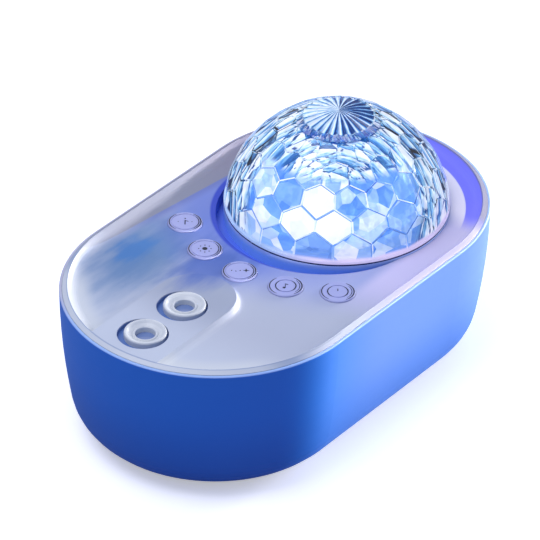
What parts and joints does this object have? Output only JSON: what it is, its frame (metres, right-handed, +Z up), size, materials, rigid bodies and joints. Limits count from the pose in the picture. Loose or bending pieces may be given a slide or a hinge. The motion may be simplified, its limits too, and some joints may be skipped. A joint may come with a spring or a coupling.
{
  "type": "star night light projector",
  "caption": "Tabletop star night light projector: a stadium-shaped tub with a pale cover, push buttons, laser lenses and a faceted dome over a turning ripple cup.",
  "frame": {"origin": "bottom centre of the object, on the surface that its feet stand on", "axes": "+X along the length towards the dome, +Y across, +Z up"},
  "size_m": [0.19, 0.115, 0.0997],
  "materials": {
    "tub_blue": "satin moulded",
    "cover_pale": "satin moulded, translucent",
    "ring_blue": "satin moulded",
    "button_pale": "satin moulded",
    "clear_dome": "clear, faceted",
    "clear_cup": "clear, faceted",
    "lens_glass": "polished",
    "grating_film": "clear film",
    "foot_rubber": "matt",
    "steel": "plain",
    "aluminium": "plain",
    "brass": "turned",
    "circuit_board": "solder mask",
    "lamp_board_white": "plain",
    "lamp_chip": "plain",
    "black_plastic": "plain",
    "capacitor_blue": "plain",
    "cone_black": "plain",
    "frame_grey": "moulded",
    "gear_white": "moulded"
  },
  "bodies": {
    "housing": {"base_shell": "tub_blue", "rubber_feet": "foot_rubber", "base_screws": "steel", "speaker_frame": "steel", "speaker_cone": "cone_black", "speaker_magnet": "steel", "speaker_gasket": "foot_rubber", "speaker_screws": "steel", "main_board": "circuit_board", "board_screws": "steel", "main_chip": "black_plastic", "radio_module": "steel", "capacitors": "capacitor_blue", "board_connectors": "lamp_board_white", "power_jack": "black_plastic", "mid_frame": "frame_grey", "frame_screws": "steel", "heat_sink": "aluminium", "lamp_board": "lamp_board_white", "lamp_chips": "lamp_chip", "lamp_housing": "lamp_board_white", "cup_motor": "steel", "laser_block": "aluminium", "laser_barrel_a": "brass", "laser_barrel_b": "brass", "grating_motor": "steel", "top_cover": "cover_pale", "lens_collar_a": "cover_pale", "lens_collar_b": "cover_pale", "lens_window_a": "lens_glass", "lens_window_b": "lens_glass", "dome_ring": "ring_blue", "dome": "clear_dome", "button_board": "circuit_board", "button_switches": "black_plastic", "button_board_screws": "steel", "infrared_receiver": "black_plastic"},
    "turning_cup": {"cup_gear": "gear_white", "ripple_cup": "clear_cup"},
    "cup_drive": {"cup_pinion": "gear_white", "cup_motor_shaft": "steel"},
    "grating_a": {"grating_wheel_a": "gear_white", "grating_disc_a": "grating_film"},
    "grating_b": {"grating_wheel_b": "gear_white", "grating_disc_b": "grating_film"},
    "grating_drive": {"grating_pinion": "gear_white", "grating_motor_shaft": "steel"},
    "clock_button": {"clock_button": "button_pale"},
    "light_button": {"light_button": "button_pale"},
    "mode_button": {"mode_button": "button_pale"},
    "music_button": {"music_button": "button_pale"},
    "power_button": {"power_button": "button_pale"}
  },
  "joints": [
    {"name": "cup_spin", "type": "hinge", "parent": "housing", "child": "turning_cup", "pos_m": [0.036, 0, 0.0535], "axis": [0, 0, 1], "continuous": true},
    {"name": "cup_pinion_spin", "type": "hinge", "parent": "housing", "child": "cup_drive", "pos_m": [0.0048, 0, 0.0535], "axis": [0, 0, 1], "continuous": true},
    {"name": "grating_a_spin", "type": "hinge", "parent": "housing", "child": "grating_a", "pos_m": [-0.0553, 0, 0.0495], "axis": [0, 0, 1], "continuous": true},
    {"name": "grating_b_spin", "type": "hinge", "parent": "housing", "child": "grating_b", "pos_m": [-0.0778, 0, 0.0495], "axis": [0, 0, 1], "continuous": true},
    {"name": "grating_pinion_spin", "type": "hinge", "parent": "housing", "child": "grating_drive", "pos_m": [-0.06655, 0.00746, 0.0495], "axis": [0, 0, 1], "continuous": true},
    {"name": "clock_button_press", "type": "slide", "parent": "housing", "child": "clock_button", "axis": [0, 0, -1], "range_m": [0, 0.0006], "stiffness_N_per_m": 1500, "springref_m": -0.0004},
    {"name": "light_button_press", "type": "slide", "parent": "housing", "child": "light_button", "axis": [0, 0, -1], "range_m": [0, 0.0006], "stiffness_N_per_m": 1500, "springref_m": -0.0004},
    {"name": "mode_button_press", "type": "slide", "parent": "housing", "child": "mode_button", "axis": [0, 0, -1], "range_m": [0, 0.0006], "stiffness_N_per_m": 1500, "springref_m": -0.0004},
    {"name": "music_button_press", "type": "slide", "parent": "housing", "child": "music_button", "axis": [0, 0, -1], "range_m": [0, 0.0006], "stiffness_N_per_m": 1500, "springref_m": -0.0004},
    {"name": "power_button_press", "type": "slide", "parent": "housing", "child": "power_button", "axis": [0, 0, -1], "range_m": [0, 0.0006], "stiffness_N_per_m": 1500, "springref_m": -0.0004}
  ],
  "couplings": [
    {"joint": "cup_pinion_spin", "follows": "cup_spin", "ratio": -5.5},
    {"joint": "grating_pinion_spin", "follows": "grating_a_spin", "ratio": -2.8571},
    {"joint": "grating_b_spin", "follows": "grating_a_spin", "ratio": 1}
  ]
}
